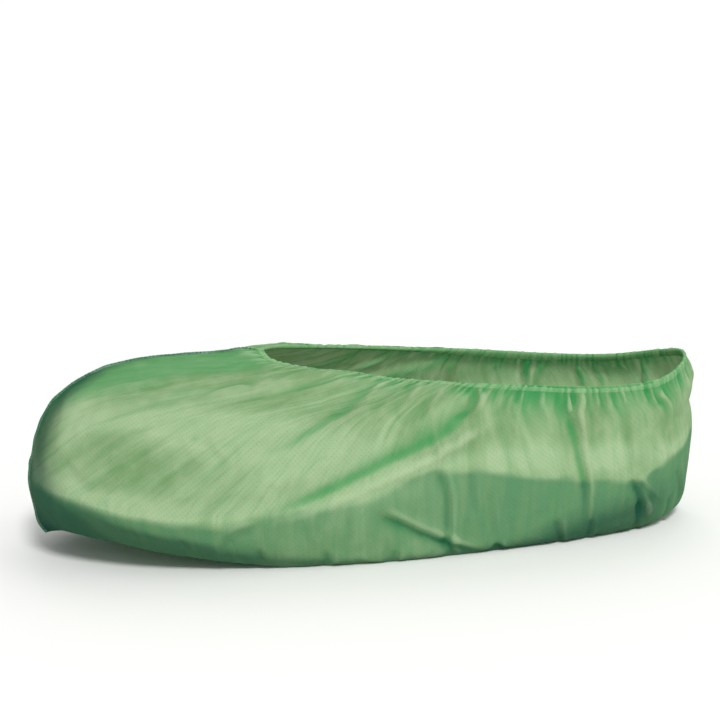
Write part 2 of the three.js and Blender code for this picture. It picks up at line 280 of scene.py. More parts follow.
# Folds that the shoe and the elastic draw in the cloth. A depth below zero is a ridge.
FOLDS = [
    # path of (rib, line); width and depth in millimetres
    # from the instep down to the toe's side
    ([(4.1, 4.8), (4.3, 4.0), (4.3, 3.3), (4.0, 2.8), (3.4, 2.6)], 2.0, 1.7),
    ([(3.5, 2.7), (3.1, 2.4), (2.6, 2.2)], 1.2, 1.2),
    ([(4.6, 3.9), (4.6, 3.1), (4.3, 2.6), (3.7, 2.4), (3.0, 2.1)], 6.0, -1.5),
    ([(4.1, 4.0), (3.9, 3.3), (3.6, 3.0), (3.1, 2.9)], 1.7, 0.8),
    ([(3.6, 4.1), (3.5, 3.5), (3.2, 3.1), (2.3, 2.9)], 1.3, 0.9),
    ([(3.3, 4.4), (3.0, 3.6), (2.5, 3.2), (1.9, 2.9)], 2.6, -0.8),
    ([(2.8, 2.8), (2.5, 2.7), (2.3, 2.5)], 1.5, 0.5),
    ([(2.9, 4.2), (2.5, 4.3), (2.5, 3.7)], 1.7, 1.3),
    ([(0.4, 3.0), (1.2, 3.5), (2.2, 4.5), (3.2, 4.8)], 3.2, -0.9),
    ([(3.6, 4.5), (3.1, 3.7), (2.5, 3.0)], 1.3, 0.9),
    ([(1.9, 4.0), (1.6, 3.6), (0.7, 3.0)], 1.3, 0.8),
    ([(1.2, 2.5), (1.6, 2.4), (2.0, 2.2)], 1.0, 0.8),
    ([(1.5, 2.5), (2.1, 2.3)], 1.0, -0.6),
    ([(3.1, 2.9), (3.4, 2.6)], 1.0, 0.9),
    ([(2.8, 2.9), (3.1, 2.6)], 1.0, 0.6),
    ([(0.2, 2.0), (1.5, 2.0), (3.4, 1.9), (4.2, 2.1)], 2.6, -1.0),
    # from the rim's outer side down to the ball
    ([(5.4, 4.9), (5.6, 4.2), (5.6, 3.6), (5.4, 3.0)], 1.3, 1.6),
    ([(5.7, 3.6), (5.4, 2.9), (4.8, 2.5), (4.2, 2.2), (3.6, 2.0)], 3.1, 2.4),
    ([(5.9, 3.4), (5.7, 2.9), (5.2, 2.5), (4.4, 2.1)], 3.2, -1.7),
    ([(4.5, 4.8), (4.6, 3.8), (4.8, 3.0)], 1.2, 0.9),
    ([(4.7, 4.8), (4.8, 3.9), (5.0, 3.0)], 1.1, 0.7),
    ([(5.0, 4.8), (5.1, 3.8), (5.3, 3.0)], 1.2, 0.9),
    ([(6.0, 4.8), (6.1, 3.9)], 1.6, 1.4),
    ([(6.2, 4.8), (6.3, 3.8), (6.6, 2.0)], 1.6, 0.9),
    ([(6.1, 3.5), (6.1, 2.2)], 1.5, 0.5),
    # the pair below the elastic's tightest place with a ridge between them, and the heel's
    ([(6.5, 4.8), (6.6, 3.6), (6.8, 2.5), (6.9, 1.8), (6.9, 0.6)], 1.8, 2.1),
    ([(6.7, 4.8), (6.7, 3.4), (6.9, 2.4)], 1.4, 1.8),
    ([(6.6, 4.4), (6.65, 3.4), (6.8, 2.7)], 1.5, -1.0),
    ([(7.2, 4.8), (7.3, 3.9), (7.5, 2.2)], 1.4, 0.8),
    ([(7.7, 4.8), (7.9, 4.0), (8.3, 2.5)], 1.5, 1.1),
    ([(8.6, 4.8), (8.8, 2.8)], 1.5, 1.0),
    ([(9.3, 4.8), (9.3, 3.4)], 1.5, 1.0),
    # low on the side, where the sole's edge pulls
    ([(7.5, 2.0), (7.7, 1.5), (7.9, 0.5)], 1.6, 2.1),
    ([(7.6, 1.9), (7.8, 1.6), (8.1, 1.2)], 1.2, 1.2),
    ([(7.8, 1.4), (8.0, 1.0)], 2.2, -0.7),
    ([(7.4, 2.8), (7.5, 1.9)], 1.5, 0.7),
    ([(8.5, 1.9), (8.9, 1.3), (9.2, 0.8)], 1.8, 1.2),
    ([(5.4, 2.4), (5.5, 1.8), (5.5, 0.7)], 1.6, 1.6),
    ([(5.7, 2.3), (5.8, 1.4)], 1.4, 0.9),
    ([(5.9, 1.9), (6.0, 1.0)], 1.5, 0.7),
    ([(4.8, 1.9), (5.2, 1.4), (5.6, 0.9), (5.9, 0.4)], 1.7, 2.4),
    ([(3.4, 0.8), (3.6, 1.7), (4.0, 2.1)], 1.5, 1.1),
    ([(4.2, 1.9), (4.3, 1.1)], 1.5, 0.6),
    ([(4.6, 1.9), (4.6, 1.2)], 1.4, 0.6),
    # small pleats that cross the sole's edge
    ([(5.5, 1.3), (5.6, 0.1)], 1.2, 1.6),
    ([(6.0, 0.9), (6.1, 0.1)], 1.3, 1.8),
    ([(6.6, 1.4), (6.7, 0.1)], 1.2, 1.5),
    ([(7.0, 1.3), (7.0, 0.1)], 1.1, 1.3),
    ([(7.7, 1.5), (7.8, 0.1)], 1.3, 1.8),
    ([(8.4, 1.4), (8.5, 0.2)], 1.2, 1.3),
    ([(3.1, 1.3), (3.1, 0.2)], 1.2, 1.0),
    ([(3.8, 1.2), (3.8, 0.2)], 1.2, 1.2),
    ([(4.4, 1.1), (4.4, 0.1)], 1.3, 1.3),
    ([(5.0, 1.0), (5.0, 0.1)], 1.2, 1.2),
    # the big-toe side
    ([(15.5, 4.8), (15.6, 3.8), (16.2, 2.8), (17.3, 2.2)], 1.7, 1.6),
    ([(14.2, 4.8), (14.4, 3.7), (15.2, 2.7), (16.3, 2.1)], 2.4, 1.7),
    ([(13.8, 3.0), (14.6, 2.5), (15.5, 2.2)], 3.6, -1.6),
    ([(13.3, 4.8), (13.2, 3.0), (13.0, 1.3)], 1.6, 1.9),
    ([(13.0, 4.8), (13.1, 3.2), (13.0, 2.2)], 1.4, 1.4),
    ([(12.1, 2.4), (12.4, 0.9)], 1.8, 1.7),
    ([(14.7, 2.2), (14.3, 0.9)], 1.5, 1.4),
    ([(16.4, 2.0), (16.0, 0.8)], 1.5, 1.0),
    ([(11.3, 4.8), (11.4, 3.2), (11.2, 2.5)], 1.5, 1.0),
    ([(12.3, 4.8), (12.1, 3.6), (11.9, 2.6)], 1.4, 0.9),
    ([(15.9, 4.8), (16.1, 3.9), (16.7, 3.2)], 1.4, 1.0),
    ([(14.9, 4.8), (15.0, 3.9), (15.3, 3.1)], 1.3, 1.0),
    ([(17.6, 4.3), (17.9, 3.6), (18.6, 3.1)], 1.8, 0.7),
    ([(18.5, 2.9), (16.9, 2.4)], 1.8, 0.7),
    ([(19.8, 2.0), (18.0, 2.0), (16.0, 2.0)], 2.6, -1.0),
]
FOLD_STEPS = 8  # straight steps from one point of a fold's path to the next
FOLD_LIP = 0.45  # a valley's low lip, as a share of its depth
FOLD_STARTS = 1.2  # a fold's width at its first point, as a share of the table's
FOLD_NARROWS = 0.5  # how much of that width it loses up to its last point
FADES_IN, FADES_OUT = 0.15, 0.35  # shares of its length over which it starts and ends
SHARP_SIDE, SOFT_SIDE = 0.75, 1.9  # how wide a valley is towards its lip and away from it, times its width


def fold_relief(path, width, depth):
    """How far out a fold moves each point: a valley with a lip on one side, or a ridge. Both narrow."""
    corners = np.array(path, float)
    places = np.linspace(0, len(corners) - 1, FOLD_STEPS * (len(corners) - 1) + 1)
    routes = through(corners[:, None, :].repeat(len(places), 1), places, False)
    points = smooth_points(routes[:, 0], routes[None, :, 1])[0]
    reach = 4 * width
    near = ((smooth > points.min(0) - reach) & (smooth < points.max(0) + reach)).all(-1) & (lines > 0)
    spots, out = smooth[near], outward[near]
    nearest, share, side_of = np.full(len(spots), 1e9), np.zeros(len(spots)), np.ones(len(spots))
    for i, step in enumerate(np.diff(points, axis=0)):
        part = np.clip(((spots - points[i]) @ step) / (step @ step), 0, 1)
        away = spots - points[i] - part[:, None] * step
        distance = np.linalg.norm(away, axis=1)
        closer = distance < nearest
        nearest[closer] = distance[closer]
        share[closer] = (i + part[closer]) / (len(points) - 1)
        side_of[closer] = np.sign((away[closer] * np.cross(out[closer], step)).sum(1))
    taper = np.clip(np.minimum(share / FADES_IN, (1 - share) / FADES_OUT), 0, 1)
    across = side_of * nearest / (width * (FOLD_STARTS - FOLD_NARROWS * share))
    if depth < 0:
        crease, lip = np.exp(-across ** 2), 0
    else:
        crease = np.exp(-np.abs(across / np.where(across > 0, SHARP_SIDE, SOFT_SIDE)) ** 1.4)
        lip = FOLD_LIP * np.exp(-((across - 1.9) / 1.2) ** 2)
    relief = np.zeros(smooth.shape[:2])
    relief[near] = -depth * (crease - lip) * taper * taper * (3 - 2 * taper)
    return relief


fold_sum = sum(fold_relief(*fold) for fold in FOLDS)

# Fine drag lines, which fan out from the elastic all round and turn towards the toe's tip.
SEED = 11
DRAG_LINES = 150
DRAG_TURN = [
    # lines down from the rim, how far along the foot a drag line has moved there, in the ribs below
    (0, 0), (1, 0.3), (1.4, 0.55), (1.7, 0.85), (2.0, 1.2), (2.4, 1.7), (2.9, 2.4),
]
DRAG_RIBS = [
    # rib at the rim, towards the toe (below 0) or the heel, times the table above
    (0, -1), (3.7, -1), (4.45, -0.6), (4.9, -0.15), (5.3, 0.05), (6, 0.15), (7, 0.1), (8, 0.2), (10, 0),
    (12, -0.2), (13, -0.1), (14, -0.15), (14.8, -0.05), (15.2, 0.15), (15.6, 0.6), (16.3, 1), (20, 1),
]
DRAG_DOWN = DRAG_TURN[-1][0]
BELLY_RIB = 28  # about a rib's length along the belly at the toe


def drag_moved(rim_rib, fall):
    """How many ribs the drag line from a place on the rim has moved, so many lines below the rim."""
    return np.interp(rim_rib, *zip(*DRAG_RIBS)) * np.interp(fall, *zip(*DRAG_TURN))


dice = np.random.default_rng(SEED)
for _ in range(DRAG_LINES):
    rib, top = dice.uniform(0.3, RIBS_ROUND - 0.3), dice.choice([4.7, 4.0, 3.2], p=[0.5, 0.3, 0.2])
    fall = dice.uniform(0.5, 1.5)
    lean = dice.normal(0, 0.06)
    path = [(rib + drag_moved(rib, LAST_LINE - top + fall * step) + lean * fall * step, top - fall * step)
            for step in (0, 0.33, 0.67, 1)]
    fold_sum += fold_relief(path, dice.uniform(0.9, 2.2), dice.choice([1, -0.7]) * dice.uniform(0.2, 0.7))
rim_ribs = np.linspace(0, RIBS_ROUND, 401)
rim_runs = np.interp(rim_ribs, np.append(ribs, RIBS_ROUND), np.append(along_rim, RIM_LENGTH))
falls = np.linspace(0, DRAG_DOWN, 60)
drag_at = np.array([np.interp(ribs, rim_ribs + drag_moved(rim_ribs, fall), rim_runs) for fall in falls])
down = np.clip((LAST_LINE - lines) / DRAG_DOWN, 0, 1) * (len(falls) - 1)
step = np.minimum(down.astype(int), len(falls) - 2)
column = np.arange(COLUMNS)
drag = drag_at[step, column] + (down - step) * (drag_at[step + 1, column] - drag_at[step, column])
belly_ribs = rim_ribs + drag_moved(rim_ribs, DRAG_DOWN)
belly_runs = np.interp(belly_ribs, rim_ribs, lengths_along(line_points("belly", rim_ribs), 0))
belly_runs += (belly_ribs - np.clip(belly_ribs, 0, RIBS_ROUND)) * BELLY_RIB

# Gathers: puffs between narrow pinches, some single and some in bunches, all round the mouth.
GATHER_STEPS = (1.7, 2.4, 3.4, 5.0)
GATHER_SHARES = (0.3, 0.34, 0.25, 0.11)
HEM_HEIGHT = 2.9
PINCH_WIDENS = 14  # how far below the rim a pinch is twice as wide as at it
pinched = np.zeros(smooth.shape[:2])
place = 0.0
while place < RIM_LENGTH - GATHER_STEPS[0]:
    depth = dice.uniform(0.8, 2.0)
    run = dice.choice([4, 5.5, 8, 16], p=[0.3, 0.35, 0.22, 0.13]) * dice.uniform(0.85, 1.2)
    width = dice.uniform(0.5, 0.75) * (1 + below_rim / PINCH_WIDENS)
    offset = drag - place - dice.normal(0, 0.12) * below_rim
    offset = (offset + RIM_LENGTH / 2) % RIM_LENGTH - RIM_LENGTH / 2
    fades = np.maximum(below_rim - HEM_HEIGHT, 0) / run
    pinched = np.maximum(pinched, depth * np.exp(-np.abs(offset / width) ** 1.6 - fades ** 2))
    place += dice.choice(GATHER_STEPS, p=GATHER_SHARES) * dice.uniform(0.8, 1.2)

RUFFLE_OUT, RUFFLE_BELOW, RUFFLE_WIDTH = 1.5, 9, 6.5
NOTCH_IN, NOTCH_BELOW, NOTCH_WIDTH = 1.9, 21, 5
near_heel = np.exp(-((ribs - LAST_RIB) / 3) ** 2)
ruffle = RUFFLE_OUT * (1 - 0.5 * near_heel) * np.exp(-((below_rim - RUFFLE_BELOW) / RUFFLE_WIDTH) ** 2)
notch = NOTCH_IN * near_heel * np.exp(-((below_rim - NOTCH_BELOW) / NOTCH_WIDTH) ** 2)
under_hem = np.clip((HEM_HEIGHT + 1.2 - below_rim) / 2.0, 0, 1)


def eased(values):
    """Values held between 0 and 1, which start and end softly."""
    values = np.clip(values, 0, 1)
    return values * values * (3 - 2 * values)


def blotches(size):
    """Smooth random heights about 0 that change over so many rows and columns."""
    rows, columns = smooth.shape[:2]
    heights = dice.normal(size=(rows // size + 3, columns // size))
    row, column = np.arange(rows) / size, np.arange(columns) / (columns / heights.shape[1])
    low, first = row.astype(int), column.astype(int)
    up, on = eased((row - low)[:, None]), eased((column - first)[None, :])
    after = (first + 1) % heights.shape[1]
    lower = heights[low][:, first] * (1 - on) + heights[low][:, after] * on
    upper = heights[low + 1][:, first] * (1 - on) + heights[low + 1][:, after] * on
    return lower * (1 - up) + upper * up


PUFFS, PUFF_ROWS = 0.35, 36  # height of the broad soft puffs, and rows from one to the next
SOLE_CREASES, SOLE_CREASE_ROWS = 0.9, 7
start_relief = fold_sum + (ruffle - pinched) * (1 - 0.75 * under_hem) - notch - 0.3 * under_hem
start_relief += PUFFS * blotches(PUFF_ROWS)
beside_elastic = np.clip((HEM_HEIGHT + 1.8 - below_rim) / 1.2, 0, 1)
start_relief = np.maximum(start_relief, -0.7 - 6 * (1 - beside_elastic))  # it stays outside the elastic
start = smooth + outward * (start_relief * np.clip(lines / 0.2, 0, 1))[..., None]
from_sole_edge = np.where(lines == 0, run_up[SOLE_ROWS] - run_up, 0)
sole_creases = np.maximum(blotches(SOLE_CREASE_ROWS), 0) * SOLE_CREASES * np.clip(run_up / 12, 0, 1)
start[..., 2] += sole_creases * np.clip(from_sole_edge / 6, 0, 1)
start[-1] -= (smooth[-1] - smooth[-2]) * 0.6  # the cut edge ends inside the hem

SPARE_ROUND = 0.02 + 0.13 * np.exp(-below_rim / 9)  # more cloth than the shape needs, as a share
SPARE_UP = 0.012
SINK, STAND = 2.4, 4.0  # how far the cloth may lie inside and outside the smooth shape
SETTLE_STEPS, SETTLE_PASSES = 60, 4
SOFTNESS = 0.035  # share of each small kink evened out in a pass, which stands for the cloth's stiffness
SHEAR_FIRMNESS = 0.3  # how firmly the cloth keeps its diagonals, against 1 round and up it
UNEVEN, UNEVEN_ROWS = 0.12, 3  # height and rows of the small unevenness that the buckles start from
GLIDE = 0.9  # share of a step's movement that goes on in the next
FALL = 0.0015  # how far the cloth falls in a step by its own weight


def draw_to(first, second, rest, firmness):
    """Moves two sets of points along the line between them towards their rest distance."""
    gap = second - first
    length = np.sqrt(np.einsum("...k,...k", gap, gap))
    move = gap * (0.5 * firmness * (1 - rest / np.maximum(length, 1e-6)))[..., None]
    first += move
    second -= move


def settle(start):
    """The cloth let go with its spare length: it buckles into small folds over the smooth shape."""
    rows, columns = start.shape[:2]
    round_step = (np.roll(start, -1, 1) - start) * (1 + SPARE_ROUND)[..., None]
    up_step = np.diff(start, axis=0) * (1 + SPARE_UP)
    rest_round, rest_up = (np.linalg.norm(step, axis=-1) for step in (round_step, up_step))
    rest_rise = np.linalg.norm(up_step + round_step[:-1], axis=-1)
    rest_fall = np.linalg.norm(up_step - round_step[:-1], axis=-1)
    still = np.zeros((rows, columns), bool)
    still[0] = still[-5:] = True
    still[:, 0] = still[:, columns // 2] = True
    cloth = start + outward * (UNEVEN * blotches(UNEVEN_ROWS))[..., None] * (~still)[..., None]
    low = np.minimum(-SINK, ((start - smooth) * outward).sum(-1) - 0.3)
    before = cloth.copy()
    for _ in range(SETTLE_STEPS):
        cloth, before = cloth + GLIDE * (cloth - before), cloth
        cloth[..., 2] -= FALL
        for _ in range(SETTLE_PASSES):
            draw_to(cloth[:, 0::2], cloth[:, 1::2], rest_round[:, 0::2], 1.0)
            draw_to(cloth[:, 1:-1:2], cloth[:, 2::2], rest_round[:, 1:-1:2], 1.0)
            draw_to(cloth[:, -1], cloth[:, 0], rest_round[:, -1], 1.0)
            for k in (0, 1):
                lower, upper = cloth[k:rows - 1:2], cloth[k + 1:rows:2]
                draw_to(lower, upper, rest_up[k::2], 1.0)
                draw_to(lower[:, :-1], upper[:, 1:], rest_rise[k::2, :-1], SHEAR_FIRMNESS)
                draw_to(lower[:, 1:], upper[:, :-1], rest_fall[k::2, :-1], SHEAR_FIRMNESS)
            around = np.roll(cloth, 1, 1) + np.roll(cloth, -1, 1)
            cloth[1:-1] += SOFTNESS * ((around[1:-1] + cloth[2:] + cloth[:-2]) / 4 - cloth[1:-1])
            height = ((cloth - smooth) * outward).sum(-1)
            cloth += outward * (np.clip(height, low, STAND) - height)[..., None]
            cloth[..., 2] = np.maximum(cloth[..., 2], CLEAR_OF_FLOOR)
            cloth[still] = start[still]
    return cloth


def spread(values, rounds):
    """Values of a grid, evened out over their neighbours that many times."""
    for _ in range(rounds):
        values = (values + np.roll(values, 1, 1) + np.roll(values, -1, 1)) / 3
        values[1:-1] = (values[1:-1] + values[2:] + values[:-2]) / 3
    return values


cloth = smooth + spread(settle(start) - smooth, 1)
height = ((cloth - smooth) * outward).sum(-1)
raised = height - spread(height, 16)  # above its surroundings, in millimetres


def grid_mesh(name, rows, closed_up=False):
    """A mesh of quads from rows of points in millimetres that run round the cover."""
    count, columns = rows.shape[:2]
    lower = np.arange(count if closed_up else count - 1)[:, None]
    upper = (lower + 1) % count
    here = np.arange(columns)[None, :]
    after = (here + 1) % columns
    quads = np.stack(np.broadcast_arrays(lower * columns + here, lower * columns + after,
                                         upper * columns + after, upper * columns + here), -1)
    mesh = bpy.data.meshes.new(name)
    mesh.from_pydata((rows.reshape(-1, 3) * MM + SHIFT).tolist(), [], quads.reshape(-1, 4).tolist())
    mesh.shade_smooth()
    return show(name, mesh)


bag = grid_mesh("bag_cloth", cloth)

SLACK_SHADE_BELOW = [
    # rib, line: below these the cloth hangs slack below the shoe's edge and is given a painted shade
    (0, 2.2), (1, 2.0), (2.5, 1.9), (3.5, 1.9), (4, 2.1), (4.8, 2.1), (5.4, 2.4), (6.1, 2.1), (7, 2.0),
    (7.6, 1.9), (8.1, 2.1), (8.6, 2.2), (10, 2.5), (11.5, 2.2), (13, 2.0), (14.5, 2.4), (15.5, 2.0),
    (17, 1.9), (19, 2.0), (20, 2.2),
]
SLACK_SHADE_SHARES = [
    # rib, how much of the slack cloth's painted shade shows there
    (0, 1), (3.3, 1), (4, 0.65), (5, 0.65), (6, 1), (14, 1), (15, 0.75), (16, 1), (20, 1),
]
UNDER_SHADE_BELOW = [
    # rib, line: below these the cloth turns in under the shoe's edge, where it is given a painted shade
    (0, 2.0), (2, 1.9), (3, 1.4), (4, 0.8), (5, 0.5), (6, 0.7), (7, 1.4), (8, 1.7), (9, 1.6), (10, 1.6),
    (11, 1.6), (12, 1.5), (13, 1.1), (14, 0.7), (15, 0.6), (16, 1.0), (17, 1.6), (18, 1.9), (20, 2.0),
]
UNDER_SHADE_SHARES = [
    # ribs from the toe's seam, how much of the painted shade shows there
    (0, 0.66), (5, 0.5), (6.5, 0.7), (7.8, 0.6), (8.3, 0.2), (10, 0.2),
]


def below(borders, softness):
    """1 below a line across the ribs, 0 above it, with a soft border as many lines wide."""
    return eased((np.interp(ribs, *zip(*borders)) + wander - lines) / softness + 0.5)


def length_from_waist(points):
    """How far each point lies along the cloth from the foot's middle, towards the toe or the heel."""
    run = lengths_along(points, 1)
    half = points.shape[1] // 2
    for row, across in zip(run, points[..., 0]):
        row[:half] -= np.interp(0, across[:half], row[:half])
        row[half:] -= np.interp(0, across[half:][::-1], row[half:][::-1])
    return run


def store(piece, name, values):
    """Keeps one number for each point of a piece, for its material."""
    layer = piece.data.attributes.new(name, "FLOAT", "POINT")
    layer.data.foreach_set("value", np.ascontiguousarray(values, np.float32).ravel())


CROWN_WITHIN = [
    # line, ribs from the toe's seam: between these the cloth over the toe's top is given a painted shade
    (2.6, 0.35), (2.95, 0.5), (3.4, 1.2), (3.8, 1.6), (4.25, 1.7), (5, 1.8),
]
TOE_END_WITHIN = [
    # line, ribs from the toe's seam: between these the toe's end gets the same painted shade
    (0, 2.4), (1.6, 2.2), (2.0, 1.5), (2.35, 1.1), (2.7, 0.85), (3.2, 0.65), (3.7, 0.3), (4.2, -0.4),
    (5, -1.2),
]
BUNCHES = [
    # rib, how closely the gathers are bunched there, from 0 to 1
    (0, 0.5), (2, 0.3), (3.6, 0.35), (4.1, 0.6), (4.5, 0.2), (5.1, 0.2), (5.5, 1), (5.8, 0.4),
    (6.2, 1.4), (6.6, 1.0), (6.9, 0.4), (7.2, 0.7), (8.0, 1), (8.7, 0.8), (9.3, 0.3), (10.5, 0.15),
    (11.2, 0.5), (12, 1), (12.6, 0.5), (13.3, 1), (14.2, 0.6), (15, 0.9), (15.8, 0.6), (17, 0.6),
    (20, 0.5),
]
SHOE_LIGHT_SPOTS = [
    # rib, line, spread in ribs and lines, share: painted light from the white shoe behind the cloth,
    # lightest where it would lie close on the shoe, and below 0 painted darker where it stands clear
    (1.3, 2.95, 0.8, 0.35, 1), (2.9, 3.15, 0.8, 0.3, 1), (3.6, 2.95, 0.9, 0.3, 1),
    (4.4, 2.6, 0.7, 0.3, 1), (2.3, 2.68, 0.55, 0.22, -0.6), (2.2, 2.15, 1.3, 0.12, 0.8),
    (4.6, 2.2, 0.7, 0.2, 1), (5.2, 2.45, 0.4, 0.1, 1), (6.3, 2.4, 0.5, 0.25, 0.9),
    (7.2, 2.4, 0.3, 0.2, 1), (8.4, 2.3, 0.6, 0.15, 1), (18.6, 2.95, 1.0, 0.35, 1),
    (16.6, 2.95, 1.0, 0.3, 1), (15.2, 2.5, 0.8, 0.3, 1), (13.6, 2.6, 0.8, 0.35, 1),
    (11.8, 2.5, 1.0, 0.3, 1),
]
SIDES_APART = 100 * MM  # shifts the creases' pattern between the two sides, so that it isn't mirrored


def within(table, softness):
    """1 closer to the toe's seam than a table's ribs, 0 further, with a soft border as many ribs wide."""
    return eased((np.interp(lines, *zip(*table)) - from_toe) / softness + 0.5)


from_toe = np.minimum(ribs, RIBS_ROUND - ribs)
wander = 0.03 * blotches(9)
crown = within(CROWN_WITHIN, 0.8) * (lines > 2.5)
bunched = np.interp(ribs, *zip(*BUNCHES))
painted_shoe_light = sum(share * np.exp(-((ribs - rib) / across) ** 2 - ((lines - line) / up) ** 2)
            for rib, line, across, up, share in SHOE_LIGHT_SPOTS)
# A painted highlight: a thin light line just above the slack cloth's painted shade near the toe, where the
# cloth turns over the shoe's edge.
from_border = lines - np.interp(ribs, *zip(*SLACK_SHADE_BELOW)) - 0.13
painted_shoe_light += 0.7 * np.exp(-(from_border / 0.08) ** 2) * np.clip((4.3 - from_toe) / 1.5, 0, 1)
off_sole = np.clip(np.arange(len(smooth)) / SOLE_ROWS, 0, 1)[:, None]  # 0 on the sole's middle line
corner_painted_shade = 0.97 * np.exp(-(corner_reach / 1.6) ** 2) * off_sole ** 2
store(bag, "along_cloth", length_from_waist(smooth) * MM)
store(bag, "up_cloth", run_up * MM)
store(bag, "slack_shade", below(SLACK_SHADE_BELOW, 0.15) * np.interp(ribs, *zip(*SLACK_SHADE_SHARES)))
# Painted shade where the cloth turns in under the shoe's edge, at the toe's end and in the bag's empty
# corner.
turned_under_shade = below(UNDER_SHADE_BELOW, np.interp(from_toe, (2, 4), (0.4, 0.8)))
turned_under_shade *= np.interp(from_toe, *zip(*UNDER_SHADE_SHARES))
turned_under_shade = np.maximum(turned_under_shade, 0.72 * within(TOE_END_WITHIN, 0.9))
turned_under_shade *= 1 - 0.7 * np.clip(from_sole_edge / 22, 0, 1)
store(bag, "painted_under_shade", turned_under_shade + (1 - turned_under_shade) * corner_painted_shade)
calm = np.clip((4.1 - from_toe) / 0.8, 0, 1) * np.clip((3.7 - lines) / 0.6, 0, 1)
# The relief's painted shade in valleys and painted highlight on ridges: stronger near the rim, and the
# shade weaker on the toe's calm part.
raised *= 1 + 0.7 * np.exp(-(below_rim / 12) ** 2)
store(bag, "raised", np.where(raised < 0, raised * (1 - 0.45 * calm), raised))
store(bag, "painted_shoe_light", np.minimum(painted_shoe_light, 1))
# Painted shade below the rim where the gathers bunch, with the deeper green of the bunched cloth, and along
# the toe's top.
store(bag, "gathers_and_painted_shade", np.maximum(bunched * np.exp(-(below_rim / (6 + 5 * bunched)) ** 2), 0.75 * crown))
# Deeper green where pinches and fold valleys lay the cloth double, and painted shade in the same valleys.
doubled_and_fold_shade = np.clip(pinched / 1.6, 0, 1.1) * np.clip(0.55 + 0.6 * bunched, 0, 1)
store(bag, "doubled_and_fold_shade", doubled_and_fold_shade + spread(np.clip(-fold_sum / 2.7, 0, 1), 2) * (1 - 0.5 * calm))
fan = np.interp(drag, rim_runs, belly_runs)  # along the belly, where the drag line through a point meets it
fan = np.where(ribs < LAST_RIB, fan, belly_runs[-1] - fan)  # alike on both sides, which meet on the sole
fan += (fan[:, -np.arange(COLUMNS)] - fan) / 2 * (1 - off_sole)
store(bag, "drag", fan * MM)
store(bag, "side", SIDES_APART * (0.5 + np.where(ribs < LAST_RIB, -0.5, 0.5) * off_sole))

BOND_PITCH = 2.2 * MM
CLOUD_SIZE = 9 * MM
FIBRE_SIZE = 0.6 * MM  # coarser than real fibres of 0.02 mm, which are too fine to show
CREASES = [
    # length up the cloth, how many times finer across it, detail
    (32 * MM, 6.0, 1.5),  # faint creases
    (70 * MM, 8.0, 1.0),  # a few sharp hair lines
    # the last row: patches of painted light and shade from the white shoe, where the cloth would lie close
    # on it or clear of it
    (44 * MM, 2.6, 2.0),  # patches that lie close to the shoe or clear of it
]
CREASES_APART = 300 * MM  # far enough from one pattern to the next for them not to repeat each other
# The two colours for the cloth clear of the shoe are painted shade.
CLOTH_HANGING_SHADE = "#689a70"  # clear of the shoe
# Deeper green where the cloth lies double, and painted shade in folds, valleys and gathers.
CLOTH_DEEP = "#40a05c"  # where it lies double or turns in
CLOTH_DEEP_HANGING_SHADE = "#2f7556"  # the same, clear of the shoe
# Painted highlight on ridges, and the paler tone of the cloth's clouds and streaks.
CLOTH_PALE_AND_HIGHLIGHT = "#cbdeb6"  # on ridges


